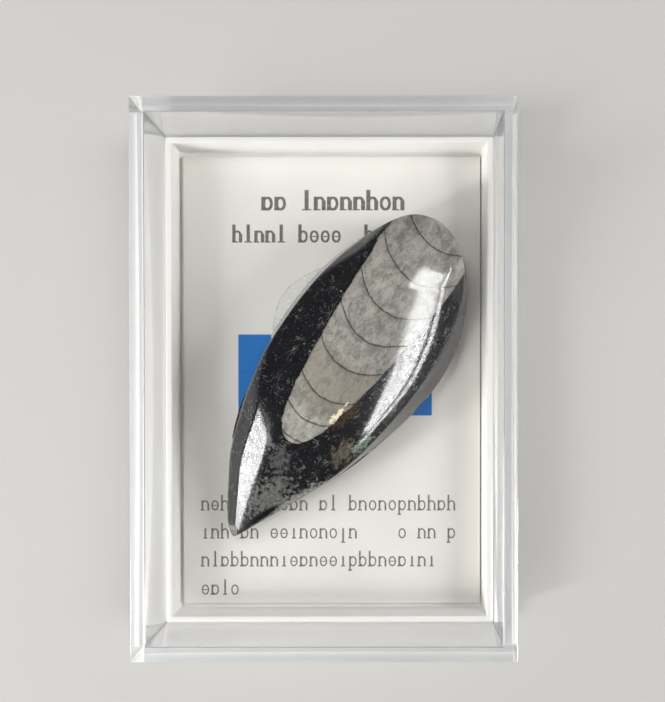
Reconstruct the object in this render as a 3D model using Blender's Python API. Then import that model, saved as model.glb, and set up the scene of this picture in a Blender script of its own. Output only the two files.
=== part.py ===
"""Polished orthoceras fossil, glued to its label card inside a small lidded display box.

Blender 4.5. Units are metres, +Z is up, and the origin is the centre of the box's underside.
Run with: blender --background --python part.py
"""
import math

import bmesh
import bpy
from mathutils import Matrix, Vector

MM = 0.001

# ---- driving dimensions ----------------------------------------------------------------------
TOUCH_GAP = 0.3 * MM            # kept between two pieces that rest on or fit in each other

BOX_WIDTH = 55.0 * MM           # X, outside of the lid and of the tray's flange
BOX_LENGTH = 80.0 * MM          # Y
BOX_HEIGHT = 23.4 * MM          # underside of the tray to top of the lid

FLANGE_HEIGHT = 2.0 * MM        # the ledge round the tray that the lid stands on
FLOOR_THICKNESS = 1.2 * MM
RIM_TOP = 5.9 * MM              # height of the tray's raised rim
RIM_SETBACK = 1.75 * MM         # from the flange's edge in to the rim
RIM_THICKNESS = 0.85 * MM
TRAY_DRAFT = 0.45 * MM          # how far each inner wall leans in from rim to floor

LID_TOP_THICKNESS = 1.5 * MM
LID_WALL_AT_MOUTH = 1.45 * MM
LID_DRAFT = 0.45 * MM           # the wall's extra thickness where it meets the top

EDGE_ROUND = 0.3 * MM
EDGE_STEPS = 2

CARD_WIDTH = 48.1 * MM
CARD_LENGTH = 72.3 * MM
CARD_THICKNESS = 0.3 * MM
CARD_CENTRE = (0.2 * MM, -0.1 * MM)

GLUE_RADIUS = 10.3 * MM
GLUE_THICKNESS = 0.8 * MM
GLUE_CENTRE = (0.6 * MM, 8.3 * MM)
GLUE_SIDES = 48

FOSSIL_TIP = (-15.1 * MM, -25.0 * MM)       # where the outline's narrow end lies in the box
FOSSIL_HEADING = math.radians(56.25)        # its long axis, turned from +X
FOSSIL_THICKNESS = 13.0 * MM
FOSSIL_OUTLINE_STEPS = 4                    # smooth points added for each outline point

# Outline of the stone from above, in mm: (distance from the tip along the axis, offset to the left).
FOSSIL_OUTLINE_MM = (
    (0.0, 0.0), (4.0, -2.0), (10.6, -5.2), (17.4, -8.4), (25.2, -11.0), (33.7, -12.95), (40.4, -13.3),
    (46.4, -12.2), (52.1, -9.9), (57.4, -6.1), (60.0, -1.2), (59.3, 4.1), (55.6, 7.8), (49.4, 10.9),
    (42.0, 12.8), (33.8, 13.4), (26.5, 12.9), (18.7, 11.1), (11.8, 8.7), (6.0, 5.6), (2.1, 2.8),
)

# The line under the crest that the dome's sections close on, in mm along the axis.
CREST_START_MM = 13.0
CREST_END_MM = 46.0

# Rings of the stone, from its sawn underside up to the crest:
# (share of the way from the outline to the crest line, share of the thickness).
FOSSIL_RINGS = (
    (0.09, 0.0), (0.03, 0.035), (0.0, 0.12), (0.02, 0.27), (0.08, 0.42), (0.17, 0.55),
    (0.27, 0.67), (0.40, 0.79), (0.55, 0.89), (0.71, 0.955), (0.88, 1.0),
)

# ---- derived heights -------------------------------------------------------------------------
CARD_UNDERSIDE = FLOOR_THICKNESS + TOUCH_GAP
CARD_TOP = CARD_UNDERSIDE + CARD_THICKNESS
GLUE_UNDERSIDE = CARD_TOP + TOUCH_GAP
FOSSIL_UNDERSIDE = GLUE_UNDERSIDE + GLUE_THICKNESS + TOUCH_GAP
LID_MOUTH = FLANGE_HEIGHT + TOUCH_GAP
LID_CEILING = BOX_HEIGHT - LID_TOP_THICKNESS


def clear_scene():
    """Remove whatever objects the file opened with."""
    for obj in list(bpy.data.objects):
        bpy.data.objects.remove(obj, do_unlink=True)


def material(name, colour, roughness, transmission=0.0, ior=1.5):
    """A plain Principled finish."""
    mat = bpy.data.materials.new(name)
    mat.use_nodes = True
    shader = mat.node_tree.nodes["Principled BSDF"]
    shader.inputs["Base Color"].default_value = (*colour, 1.0)
    shader.inputs["Roughness"].default_value = roughness
    shader.inputs["Metallic"].default_value = 0.0
    shader.inputs["Transmission Weight"].default_value = transmission
    shader.inputs["IOR"].default_value = ior
    return mat


def add_object(name, bm, mat, smooth_below_deg=None):
    """Turn a bmesh into a named object with its faces pointing out."""
    bmesh.ops.recalc_face_normals(bm, faces=bm.faces[:])
    mesh = bpy.data.meshes.new(name)
    bm.to_mesh(mesh)
    bm.free()
    mesh.materials.append(mat)
    if smooth_below_deg is not None:
        mesh.shade_smooth()
        mesh.set_sharp_from_angle(angle=math.radians(smooth_below_deg))
    obj = bpy.data.objects.new(name, mesh)
    bpy.context.scene.collection.objects.link(obj)
    return obj


def block(width, length, low, high):
    """A bmesh block centred on Z, from height low to height high."""
    bm = bmesh.new()
    size = Matrix.Diagonal((width, length, high - low, 1.0))
    place = Matrix.Translation((0.0, 0.0, (low + high) / 2))
    bmesh.ops.create_cube(bm, size=1.0, matrix=place @ size)
    return bm


def flat_face(bm, height):
    """The horizontal face at a height."""
    return next(face for face in bm.faces if abs(face.normal.z) > 0.99
                and abs(face.calc_center_median().z - height) < TOUCH_GAP / 10)


def inset(bm, face, distance):
    """Inset one face evenly, and give back the inner face."""
    bmesh.ops.inset_region(bm, faces=[face], thickness=distance, use_even_offset=True)
    return face


def pull(bm, face, rise, lean):
    """Extrude one face by rise along Z, moving each of its sides in by lean."""
    made = bmesh.ops.extrude_face_region(bm, geom=[face])["geom"]
    bmesh.ops.delete(bm, geom=[face], context="FACES_ONLY")
    for vert in (item for item in made if isinstance(item, bmesh.types.BMVert)):
        vert.co.z += rise
        vert.co.x -= math.copysign(lean, vert.co.x)
        vert.co.y -= math.copysign(lean, vert.co.y)
    return next(item for item in made if isinstance(item, bmesh.types.BMFace))


def round_edges(bm, picks, radius):
    """Round the edges that picks chooses from the mesh."""
    edges = [edge for edge in bm.edges if picks(edge)]
    bmesh.ops.bevel(bm, geom=edges, offset=radius, segments=EDGE_STEPS, profile=0.5, affect="EDGES")


def is_outer_edge(edge):
    """True on the edges of the box's outside, all but those on its parting line."""
    on_skin = [abs(abs(v.co.x) - BOX_WIDTH / 2) < EDGE_ROUND / 10
               and abs(abs(v.co.y) - BOX_LENGTH / 2) < EDGE_ROUND / 10 for v in edge.verts]
    heights = [v.co.z for v in edge.verts]
    at_parting = all(abs(z - FLANGE_HEIGHT) < 2 * TOUCH_GAP for z in heights)
    return all(on_skin) and not at_parting


def is_rim_edge(edge):
    """True on the two edge loops along the top of the tray's rim."""
    return all(abs(v.co.z - RIM_TOP) < EDGE_ROUND / 10 for v in edge.verts)


def build_tray(mat):
    """White tray: a flange, a raised rim that the lid fits over, and a shallow well."""
    bm = block(BOX_WIDTH, BOX_LENGTH, 0.0, FLANGE_HEIGHT)
    plinth = inset(bm, flat_face(bm, FLANGE_HEIGHT), RIM_SETBACK)
    rim = pull(bm, plinth, RIM_TOP - FLANGE_HEIGHT, 0.0)
    well = inset(bm, rim, RIM_THICKNESS)
    pull(bm, well, FLOOR_THICKNESS - RIM_TOP, TRAY_DRAFT)
    round_edges(bm, lambda edge: is_outer_edge(edge) or is_rim_edge(edge), EDGE_ROUND / 2)
    return add_object("base_tray", bm, mat)


def build_lid(mat):
    """Clear lid: a flat top and four tapering walls, open below."""
    bm = block(BOX_WIDTH, BOX_LENGTH, LID_MOUTH, BOX_HEIGHT)
    mouth = inset(bm, flat_face(bm, LID_MOUTH), LID_WALL_AT_MOUTH)
    pull(bm, mouth, LID_CEILING - LID_MOUTH, LID_DRAFT)
    round_edges(bm, is_outer_edge, EDGE_ROUND)
    return add_object("clear_lid", bm, mat)


def build_card(mat):
    """Label card, cut square, loose on the tray's floor."""
    bm = block(CARD_WIDTH, CARD_LENGTH, CARD_UNDERSIDE, CARD_TOP)
    bmesh.ops.translate(bm, verts=bm.verts[:], vec=Vector((*CARD_CENTRE, 0.0)))
    return add_object("label_card", bm, mat)


def build_glue(mat):
    """Flat pad of clear glue between the card and the stone."""
    bm = bmesh.new()
    place = Matrix.Translation((*GLUE_CENTRE, GLUE_UNDERSIDE + GLUE_THICKNESS / 2))
    bmesh.ops.create_cone(bm, cap_ends=True, segments=GLUE_SIDES, radius1=GLUE_RADIUS, radius2=GLUE_RADIUS,
                          depth=GLUE_THICKNESS, matrix=place)
    top = GLUE_UNDERSIDE + GLUE_THICKNESS
    round_edges(bm, lambda edge: all(abs(v.co.z - top) < TOUCH_GAP / 10 for v in edge.verts),
                GLUE_THICKNESS * 0.6)
    return add_object("glue_pad", bm, mat, smooth_below_deg=40)


def smooth_closed(points, steps):
    """Points along the closed Catmull-Rom curve through the given ones."""
    curve = []
    count = len(points)
    for index in range(count):
        before, start, end, after = (points[(index + k - 1) % count] for k in range(4))
        for step in range(steps):
            t = step / steps
            curve.append(0.5 * (2 * start + (end - before) * t
                                + (2 * before - 5 * start + 4 * end - after) * t ** 2
                                + (3 * start - before - 3 * end + after) * t ** 3))
    return curve


def loft(rings):
    """A bmesh body skinned through rings of equally many points, with a flat cap at each end."""
    bm = bmesh.new()
    loops = [[bm.verts.new(point) for point in ring] for ring in rings]
    for low, high in zip(loops, loops[1:]):
        for index in range(len(low)):
            bm.faces.new((low[index - 1], low[index], high[index], high[index - 1]))
    bm.faces.new(reversed(loops[0]))
    bm.faces.new(loops[-1])
    return bm


def build_fossil(mat):
    """The stone: sawn flat below, ground to a steep side, domed and polished above."""
    outline = smooth_closed([Vector((s, w)) * MM for s, w in FOSSIL_OUTLINE_MM], FOSSIL_OUTLINE_STEPS)
    length = max(point.x for point in outline)

    def crest_point(point):
        """Where an outline point's section meets the crest line."""
        along = CREST_START_MM * MM + (CREST_END_MM - CREST_START_MM) * MM * point.x / length
        return Vector((along, 0.0))

    rings = []
    for share, rise in FOSSIL_RINGS:
        level = [point.lerp(crest_point(point), share) for point in outline]
        rings.append([(place.x, place.y, FOSSIL_THICKNESS * rise) for place in level])
    bm = loft(rings)
    turn = Matrix.Rotation(FOSSIL_HEADING, 4, "Z")
    place = Matrix.Translation((*FOSSIL_TIP, FOSSIL_UNDERSIDE))
    bmesh.ops.transform(bm, matrix=place @ turn, verts=bm.verts[:])
    return add_object("polished_fossil", bm, mat, smooth_below_deg=30)


def main():
    """Build the five pieces."""
    clear_scene()
    build_tray(material("white_plastic", (0.86, 0.86, 0.83), 0.35))
    build_lid(material("clear_plastic", (0.95, 0.97, 0.97), 0.05, transmission=1.0, ior=1.59))
    build_card(material("label_paper", (0.76, 0.74, 0.71), 0.8))
    build_glue(material("clear_glue", (0.8, 0.83, 0.78), 0.25, transmission=0.6, ior=1.48))
    build_fossil(material("polished_limestone", (0.05, 0.05, 0.055), 0.15))


main()
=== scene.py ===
"""A polished orthoceras fossil, glued to its label card in a small lidded display box.

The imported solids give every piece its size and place. This script models the finished pieces over
them, dresses each one, and sets the studio: a pale floor, soft lamps and the camera.
"""

import logging
import math
from dataclasses import dataclass
from enum import Enum
from typing import Sequence, Union

import bmesh
import bpy
import numpy as np
from mathutils import Matrix, Vector


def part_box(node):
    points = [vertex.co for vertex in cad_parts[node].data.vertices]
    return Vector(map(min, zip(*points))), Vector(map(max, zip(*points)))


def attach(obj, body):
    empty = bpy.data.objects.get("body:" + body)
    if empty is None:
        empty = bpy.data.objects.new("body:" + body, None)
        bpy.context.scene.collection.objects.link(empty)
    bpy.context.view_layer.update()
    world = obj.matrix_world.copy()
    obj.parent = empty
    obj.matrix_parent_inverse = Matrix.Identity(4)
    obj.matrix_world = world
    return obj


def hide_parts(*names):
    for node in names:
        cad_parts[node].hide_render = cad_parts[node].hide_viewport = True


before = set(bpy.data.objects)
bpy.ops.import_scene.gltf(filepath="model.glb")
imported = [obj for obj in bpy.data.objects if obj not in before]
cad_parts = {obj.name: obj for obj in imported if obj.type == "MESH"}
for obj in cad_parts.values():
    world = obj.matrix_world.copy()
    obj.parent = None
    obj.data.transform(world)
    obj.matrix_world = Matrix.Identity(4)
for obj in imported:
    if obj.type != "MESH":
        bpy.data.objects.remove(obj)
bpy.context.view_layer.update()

MM = 0.001
TOUCH = 0.02 * MM                   # what is left between two pieces that rest on each other
NEAR = 0.01 * MM                    # heights that differ by less are the same height
log = logging.getLogger("display_box")

Colour = tuple[float, float, float]
Number = Union["Wire", float]


# ---- shader expressions ----------------------------------------------------------------------

class Wire:
    """A socket in a node tree. Python arithmetic on a number's wire adds Math nodes."""

    def __init__(self, nodes: "Nodes", socket: bpy.types.NodeSocket) -> None:
        """Remember the tree that the socket is in."""
        self.nodes = nodes
        self.socket = socket

    def __add__(self, other: Number) -> "Wire":
        """self + other."""
        return self.nodes.math("ADD", self, other)

    def __radd__(self, other: Number) -> "Wire":
        """other + self."""
        return self.nodes.math("ADD", other, self)

    def __sub__(self, other: Number) -> "Wire":
        """self - other."""
        return self.nodes.math("SUBTRACT", self, other)

    def __rsub__(self, other: Number) -> "Wire":
        """other - self."""
        return self.nodes.math("SUBTRACT", other, self)

    def __mul__(self, other: Number) -> "Wire":
        """self * other."""
        return self.nodes.math("MULTIPLY", self, other)

    def __rmul__(self, other: Number) -> "Wire":
        """other * self."""
        return self.nodes.math("MULTIPLY", other, self)

    def __truediv__(self, other: Number) -> "Wire":
        """self / other."""
        return self.nodes.math("DIVIDE", self, other)

    def __pow__(self, other: Number) -> "Wire":
        """self ** other."""
        return self.nodes.math("POWER", self, other)

    def __abs__(self) -> "Wire":
        """The size of the number, without its sign."""
        return self.nodes.math("ABSOLUTE", self)


class Nodes:
    """The node tree of one finish, with Object coordinates ready to use."""

    def __init__(self, name: str) -> None:
        """Start a material with one Principled shader.

        Args:
            name: the material's name.
        """
        self.material = bpy.data.materials.new(name)
        self.material.use_nodes = True
        self.tree = self.material.node_tree
        self.shader = self.tree.nodes["Principled BSDF"]
        self.place = self.add("ShaderNodeTexCoord", output="Object")
        self.facing = self.add("ShaderNodeTexCoord", output="Normal")

    def add(self, kind: str, settings: dict | None = None, inputs: dict | None = None,
            output: str | int = 0) -> Wire:
        """Add one node.

        Args:
            kind: the node's type.
            settings: its own properties, set first.
            inputs: values or wires for its sockets, by name or number.
            output: the socket to carry on from.

        Returns:
            The wire from that output.
        """
        node = self.tree.nodes.new(kind)
        for key, value in (settings or {}).items():
            setattr(node, key, value)
        for key, value in (inputs or {}).items():
            self.plug(node.inputs[key], value)
        return Wire(self, node.outputs[output])

    def plug(self, socket: bpy.types.NodeSocket, value: object) -> None:
        """Link a wire into a socket, or set the socket's own value.

        Args:
            socket: the socket to feed.
            value: a wire, a number, a vector or a colour.
        """
        if isinstance(value, Wire):
            self.tree.links.new(value.socket, socket)
        elif socket.type == "RGBA" and len(value) == 3:
            socket.default_value = (*value, 1.0)
        else:
            socket.default_value = value

    def math(self, operation: str, *numbers: Number) -> Wire:
        """A Math node on one, two or three numbers."""
        return self.add("ShaderNodeMath", {"operation": operation}, dict(enumerate(numbers)))

    def chain(self, operation: str, first: Number, *others: Number) -> Wire:
        """Take numbers in turn into one Math operation after another.

        Args:
            operation: the Math nodes' operation.
            first: the number to start from.
            others: the numbers that follow.

        Returns:
            The last node's wire.
        """
        for other in others:
            first = self.math(operation, first, other)
        return first

    def lowest(self, *numbers: Number) -> Wire:
        """The smallest of some numbers."""
        return self.chain("MINIMUM", *numbers)

    def highest(self, *numbers: Number) -> Wire:
        """The largest of some numbers."""
        return self.chain("MAXIMUM", *numbers)

    def rise(self, value: Wire, low: float, high: float) -> Wire:
        """A smooth step: 0 below low, 1 above high."""
        return self.add("ShaderNodeMapRange", {"interpolation_type": "SMOOTHSTEP"},
                        {"Value": value, "From Min": low, "From Max": high})

    def fall(self, value: Wire, low: float, high: float) -> Wire:
        """A smooth step down: 1 below low, 0 above high."""
        return self.add("ShaderNodeMapRange", {"interpolation_type": "SMOOTHSTEP"},
                        {"Value": value, "From Min": low, "From Max": high, "To Min": 1.0, "To Max": 0.0})

    def moved(self, vector: Wire, location: Sequence[float] = (0, 0, 0), turn: float = 0.0,
              scale: Sequence[float] = (1, 1, 1)) -> Wire:
        """Scale a vector, turn it about Z and move it."""
        return self.add("ShaderNodeMapping", {"vector_type": "POINT"},
                        {"Vector": vector, "Location": location, "Rotation": (0, 0, turn), "Scale": scale})

    def split(self, vector: Wire) -> tuple[Wire, Wire, Wire]:
        """A vector's three numbers."""
        first = self.add("ShaderNodeSeparateXYZ", inputs={0: vector})
        return tuple(Wire(self, socket) for socket in first.socket.node.outputs)

    def noise(self, vector: Wire, scale: float, detail: float = 2.0, roughness: float = 0.5,
              distortion: float = 0.0) -> Wire:
        """Cloudy noise, about 0.5."""
        return self.add("ShaderNodeTexNoise", inputs={"Vector": vector, "Scale": scale, "Detail": detail,
                                                      "Roughness": roughness, "Distortion": distortion})

    def cells(self, vector: Wire, scale: float, output: str = "Distance") -> Wire:
        """Voronoi cells: the distance to a cell's centre, or its own colour."""
        return self.add("ShaderNodeTexVoronoi", inputs={"Vector": vector, "Scale": scale}, output=output)

    def chance(self, number: Wire) -> Wire:
        """A random number for each whole number."""
        return self.add("ShaderNodeTexWhiteNoise", {"noise_dimensions": "1D"}, {"W": number}, "Value")

    def blend(self, share: Number, under: object, over: object) -> Wire:
        """Mix two colours: under where share is 0, over where it is 1."""
        return self.add("ShaderNodeMix", {"data_type": "RGBA"}, {0: share, 6: under, 7: over}, 2)

    def shade(self, colour: Wire, amount: Number) -> Wire:
        """A colour made darker or lighter by an amount."""
        return self.add("ShaderNodeVectorMath", {"operation": "SCALE"}, {0: colour, "Scale": amount})

    def bump(self, height: Wire, depth: float) -> None:
        """Let a height, 0 to 1, raise the surface by depth metres."""
        normal = self.add("ShaderNodeBump", inputs={"Height": height, "Distance": depth, "Strength": 1.0})
        self.plug(self.shader.inputs["Normal"], normal)

    def set(self, **sockets: object) -> None:
        """Set or link the shader's sockets; an underscore stands for a space."""
        for name, value in sockets.items():
            self.plug(self.shader.inputs[name.replace("_", " ")], value)

    def veil(self, share: Wire, colour: Colour) -> None:
        """Lay a matt colour over the finish.

        Args:
            share: how much of it shows, 0 to 1.
            colour: the matt colour.
        """
        matt = self.add("ShaderNodeBsdfPrincipled", inputs={
            "Base Color": colour, "Roughness": 0.9, "Specular IOR Level": 0.0})
        finish = Wire(self, self.shader.outputs[0])
        both = self.add("ShaderNodeMixShader", inputs={0: share, 1: finish, 2: matt})
        self.plug(self.tree.nodes["Material Output"].inputs["Surface"], both)


# ---- finishes --------------------------------------------------------------------------------

class Slot(Enum):
    """The record's material slots."""

    TRAY = "white_plastic"
    LID = "clear_plastic"
    CARD = "label_paper"
    GLUE = "clear_glue"
    STONE = "polished_limestone"


@dataclass(frozen=True)
class WhitePlastic:
    """Moulded white polystyrene: satin, faintly warm, with a fine flow texture; the flange's top is greyed
    as painted shade.
    """

    colour: Colour = (0.93, 0.92, 0.895)
    yellowed: Colour = (0.91, 0.89, 0.84)
    flange_painted_shade: Colour = (0.66, 0.67, 0.68)          # painted shade on the flange's top, under the lid's walls
    flange_levels: tuple[float, float] = (1.4 * MM, 2.3 * MM)
    level_blur: float = 0.2 * MM

    def material(self) -> bpy.types.Material:
        """Build the finish.

        Returns:
            Its material.
        """
        nodes = Nodes("white plastic")
        height = nodes.split(nodes.place)[2]
        low, high = self.flange_levels
        # painted shade: the flange's level top, between these heights, is greyed
        flange = nodes.rise(height, low, low + self.level_blur)
        flange = flange * nodes.fall(height, high - self.level_blur, high)
        flange = flange * nodes.rise(nodes.split(nodes.facing)[2], 0.8, 0.95)
        flow = nodes.noise(nodes.place, 120.0, 3.0)
        grain = nodes.noise(nodes.place, 4000.0, 2.0)
        plain = nodes.blend(nodes.rise(flow, 0.35, 0.75), self.colour, self.yellowed)
        nodes.set(Base_Color=nodes.blend(flange, plain, self.flange_painted_shade),
                  Roughness=0.26 + 0.12 * flow, IOR=1.55)
        nodes.bump(grain, 0.004 * MM)
        return nodes.material


@dataclass(frozen=True)
class ClearPlastic:
    """Clear polystyrene, a little hazy in its walls, which are tinted grey as painted shade."""

    colour: Colour = (0.985, 0.985, 0.985)
    # painted shade: the upright walls are tinted greyer than the top
    wall_painted_shade: Colour = (0.9, 0.905, 0.91)
    ior: float = 1.57
    haze: float = 0.1
    haze_colour: Colour = (0.36, 0.37, 0.38)

    def material(self) -> bpy.types.Material:
        """Build the finish.

        Returns:
            Its material.
        """
        nodes = Nodes("clear plastic")
        upright = nodes.fall(abs(nodes.split(nodes.facing)[2]), 0.1, 0.3)
        # painted shade: upright walls tinted greyer than the top
        nodes.set(Base_Color=nodes.blend(upright, self.colour, self.wall_painted_shade),
                  Roughness=0.0, IOR=self.ior, Transmission_Weight=1.0)
        nodes.veil(self.haze * upright, self.haze_colour)
        return nodes.material


@dataclass(frozen=True)
class PrintedRows:
    """Rows of placeholder marks printed on the label, in mm on the card."""

    start: float
    end: float
    baseline: float                     # of the first row
    height: float                       # of the low marks
    pitch: float                        # from mark to mark
    weight: float                       # a stem's width
    count: int = 1
    spacing: float = 4.55               # from row to row


@dataclass(frozen=True)
class LabelPaper:
    """Uncoated card with rows of placeholder marks and one blue panel printed on it."""

    paper: Colour = (0.86, 0.835, 0.79)
    shade: Colour = (0.80, 0.775, 0.73)
    ink: Colour = (0.09, 0.075, 0.06)
    blue: Colour = (0.0345, 0.2185, 0.644)
    thin_blue: Colour = (0.0255, 0.1615, 0.476)
    panel: tuple[float, float, float, float] = (-15.0, 16.45, -5.8, 7.4)     # low x, high x, low y, high y
    tall: float = 1.5                   # a tall mark's height, in low marks
    blur: float = 0.06                  # of a mark's edge, in mm
    lone_stems: float = 0.12            # shares of the marks, of a random number from 0 to 1
    stems_or_arches: float = 0.42
    with_stems: float = 0.72
    without_bars: float = 0.84
    not_tall: float = 0.74
    hanging: float = 0.1
    printed: float = 0.87
    ring_width: float = 0.36            # half of it, in pitches
    rows: tuple[PrintedRows, ...] = (
        PrintedRows(-11.3, 12.1, 27.45, 2.2, 2.127, 0.66),
        PrintedRows(-16.0, 16.1, 22.25, 1.95, 1.783, 0.54),
        PrintedRows(-21.2, 20.4, -21.2, 1.7, 1.6, 0.28, 2),
        PrintedRows(-21.2, 17.2, -30.3, 1.7, 1.6, 0.28),
        PrintedRows(-21.2, -14.8, -34.9, 1.7, 1.6, 0.28),
    )

    def marks(self, nodes: Nodes, x: Wire, y: Wire, rows: PrintedRows) -> Wire:
        """Ink cover of some rows of marks: stems, arches, rings and gaps in a random order.

        Args:
            nodes: the finish's tree.
            x, y: place on the card in mm.
            rows: the rows to print.

        Returns:
            1 where there is ink, 0 where there is none.
        """
        soft, above_line = self.blur, 0.75
        drop = (rows.baseline + above_line * rows.spacing - y) / rows.spacing
        line = nodes.math("FLOOR", drop)
        up = (above_line - (drop - line)) * rows.spacing
        count = (x - rows.start) / rows.pitch
        cell = nodes.math("FLOOR", count)
        across = (count - cell - 0.5) * rows.pitch
        key = cell + 37.0 * line + rows.baseline
        shape, size = nodes.chance(key), nodes.chance(key + 0.5)
        above = nodes.math("GREATER_THAN", size, self.not_tall)
        below = nodes.math("LESS_THAN", size, self.hanging)
        lone = nodes.math("LESS_THAN", shape, self.lone_stems)
        round_one = nodes.math("GREATER_THAN", shape, self.stems_or_arches)
        arched = nodes.math("LESS_THAN", shape, self.stems_or_arches) * (1 - lone)
        stemmed = nodes.math("LESS_THAN", shape, self.with_stems)
        half = 0.3 * rows.pitch
        offset = lone * half - half
        low_end = up + 0.42 * rows.height * below * (1 - arched)
        high_end = up - rows.height * (1.0 + (self.tall - 1.0) * above)
        reach = nodes.fall(high_end, -soft, soft) * nodes.rise(low_end, -soft, soft)
        stem = self.stem(nodes, across - offset, rows.weight, soft) * reach * stemmed
        foot = nodes.fall(abs(across - offset), 1.1 * rows.weight, 1.1 * rows.weight + soft)
        foot = foot * nodes.fall(abs(low_end - 0.1), 0.07, 0.07 + soft) * stemmed
        second = self.stem(nodes, across - half, rows.weight, soft) * arched
        spring = 0.7 * rows.height
        second = second * nodes.fall(up, spring, spring + soft) * nodes.rise(up, -soft, soft)
        tallness = (up - rows.height / 2) / (rows.height / 2)
        wideness = across / (rows.pitch * self.ring_width)
        radius = nodes.math("SQRT", tallness * tallness + wideness ** 2.0)
        edge = 0.03 + rows.weight * (0.12 + 0.26 * nodes.lowest(abs(wideness), 1.0))
        ring = nodes.fall(abs(radius - 0.84), edge, edge + 0.12)
        ring = ring * nodes.highest(round_one, arched * nodes.rise(tallness, 0.1, 0.3))
        bar = nodes.fall(abs(tallness), 0.05, 0.12) * nodes.fall(radius, 0.7, 0.8)
        bar = bar * nodes.math("GREATER_THAN", shape, self.without_bars)
        ink = nodes.highest(stem, foot, second, ring, bar)
        ink = ink * nodes.math("LESS_THAN", nodes.chance(key + 0.25), self.printed)
        inside = nodes.rise(x, rows.start, rows.start + soft) * nodes.fall(x, rows.end - soft, rows.end)
        inside = inside * nodes.math("GREATER_THAN", line, -0.5)
        inside = inside * nodes.math("LESS_THAN", line, rows.count - 0.5)
        return ink * inside

    @staticmethod
    def stem(nodes: Nodes, across: Wire, weight: float, soft: float) -> Wire:
        """A vertical stroke about a line."""
        return nodes.fall(abs(across), weight / 2 - soft, weight / 2 + soft)

    def material(self) -> bpy.types.Material:
        """Build the finish.

        Returns:
            Its material.
        """
        nodes = Nodes("label paper")
        place = nodes.moved(nodes.place, scale=(1 / MM,) * 3)
        x, y, _ = nodes.split(place)
        cloud = nodes.noise(place, 0.12, 3.0)
        fibre = nodes.noise(nodes.moved(place, scale=(1.8, 0.8, 1.0)), 2.6, 4.0, 0.65)
        paper = nodes.blend(nodes.rise(cloud * 0.5 + fibre * 0.5, 0.32, 0.7), self.paper, self.shade)
        low_x, high_x, low_y, high_y = self.panel
        edge = nodes.lowest(x - low_x, high_x - x, y - low_y, high_y - y)
        banding = nodes.noise(nodes.moved(place, scale=(0.4, 5.0, 1.0)), 1.0, 2.0)
        blue = nodes.blend(banding, self.thin_blue, self.blue)
        colour = nodes.blend(nodes.rise(edge + 0.08 * fibre, 0.0, 0.12), paper, blue)
        ink = nodes.highest(*(self.marks(nodes, x, y, rows) for rows in self.rows))
        nodes.set(Base_Color=nodes.blend(ink * (0.66 + 0.45 * fibre), colour, self.ink),
                  Roughness=0.78 + 0.12 * fibre, Specular_IOR_Level=0.35)
        nodes.bump(fibre, 0.012 * MM)
        return nodes.material


@dataclass(frozen=True)
class ClearGlue:
    """Soft clear adhesive: cloudy, faintly green."""

    colour: Colour = (0.95, 0.97, 0.95)

    def material(self) -> bpy.types.Material:
        """Build the finish.

        Returns:
            Its material.
        """
        nodes = Nodes("clear glue")
        lump = nodes.noise(nodes.place, 500.0, 2.0)
        nodes.set(Base_Color=self.colour, Roughness=0.16 + 0.2 * lump, IOR=1.45, Transmission_Weight=0.92)
        nodes.bump(lump, 0.05 * MM)
        return nodes.material


@dataclass(frozen=True)
class Dust:
    """Pale matt dust."""

    colour: Colour = (0.88, 0.88, 0.87)
    darker: Colour = (0.7, 0.7, 0.69)

    def material(self) -> bpy.types.Material:
        """Build the finish.

        Returns:
            Its material.
        """
        nodes = Nodes("dust")
        tone = nodes.noise(nodes.place, 900.0, 1.0)
        nodes.set(Base_Color=nodes.blend(tone, self.colour, self.darker), Roughness=0.9)
        return nodes.material


@dataclass(frozen=True)
class Patch:
    """An oval stain in the stone, or the painted glint, in mm in the stone's own frame."""

    centre: tuple[float, float]
    radii: tuple[float, float]
    turn: float                         # of the oval's long way, in degrees from the stone's axis
    colour: Colour
    cover: float                        # how solid it is
    ragged: float                       # how far noise eats into it, as a share of its radii
    blur: float = 0.55                  # how soft its edge is, as a share of its radii


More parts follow.
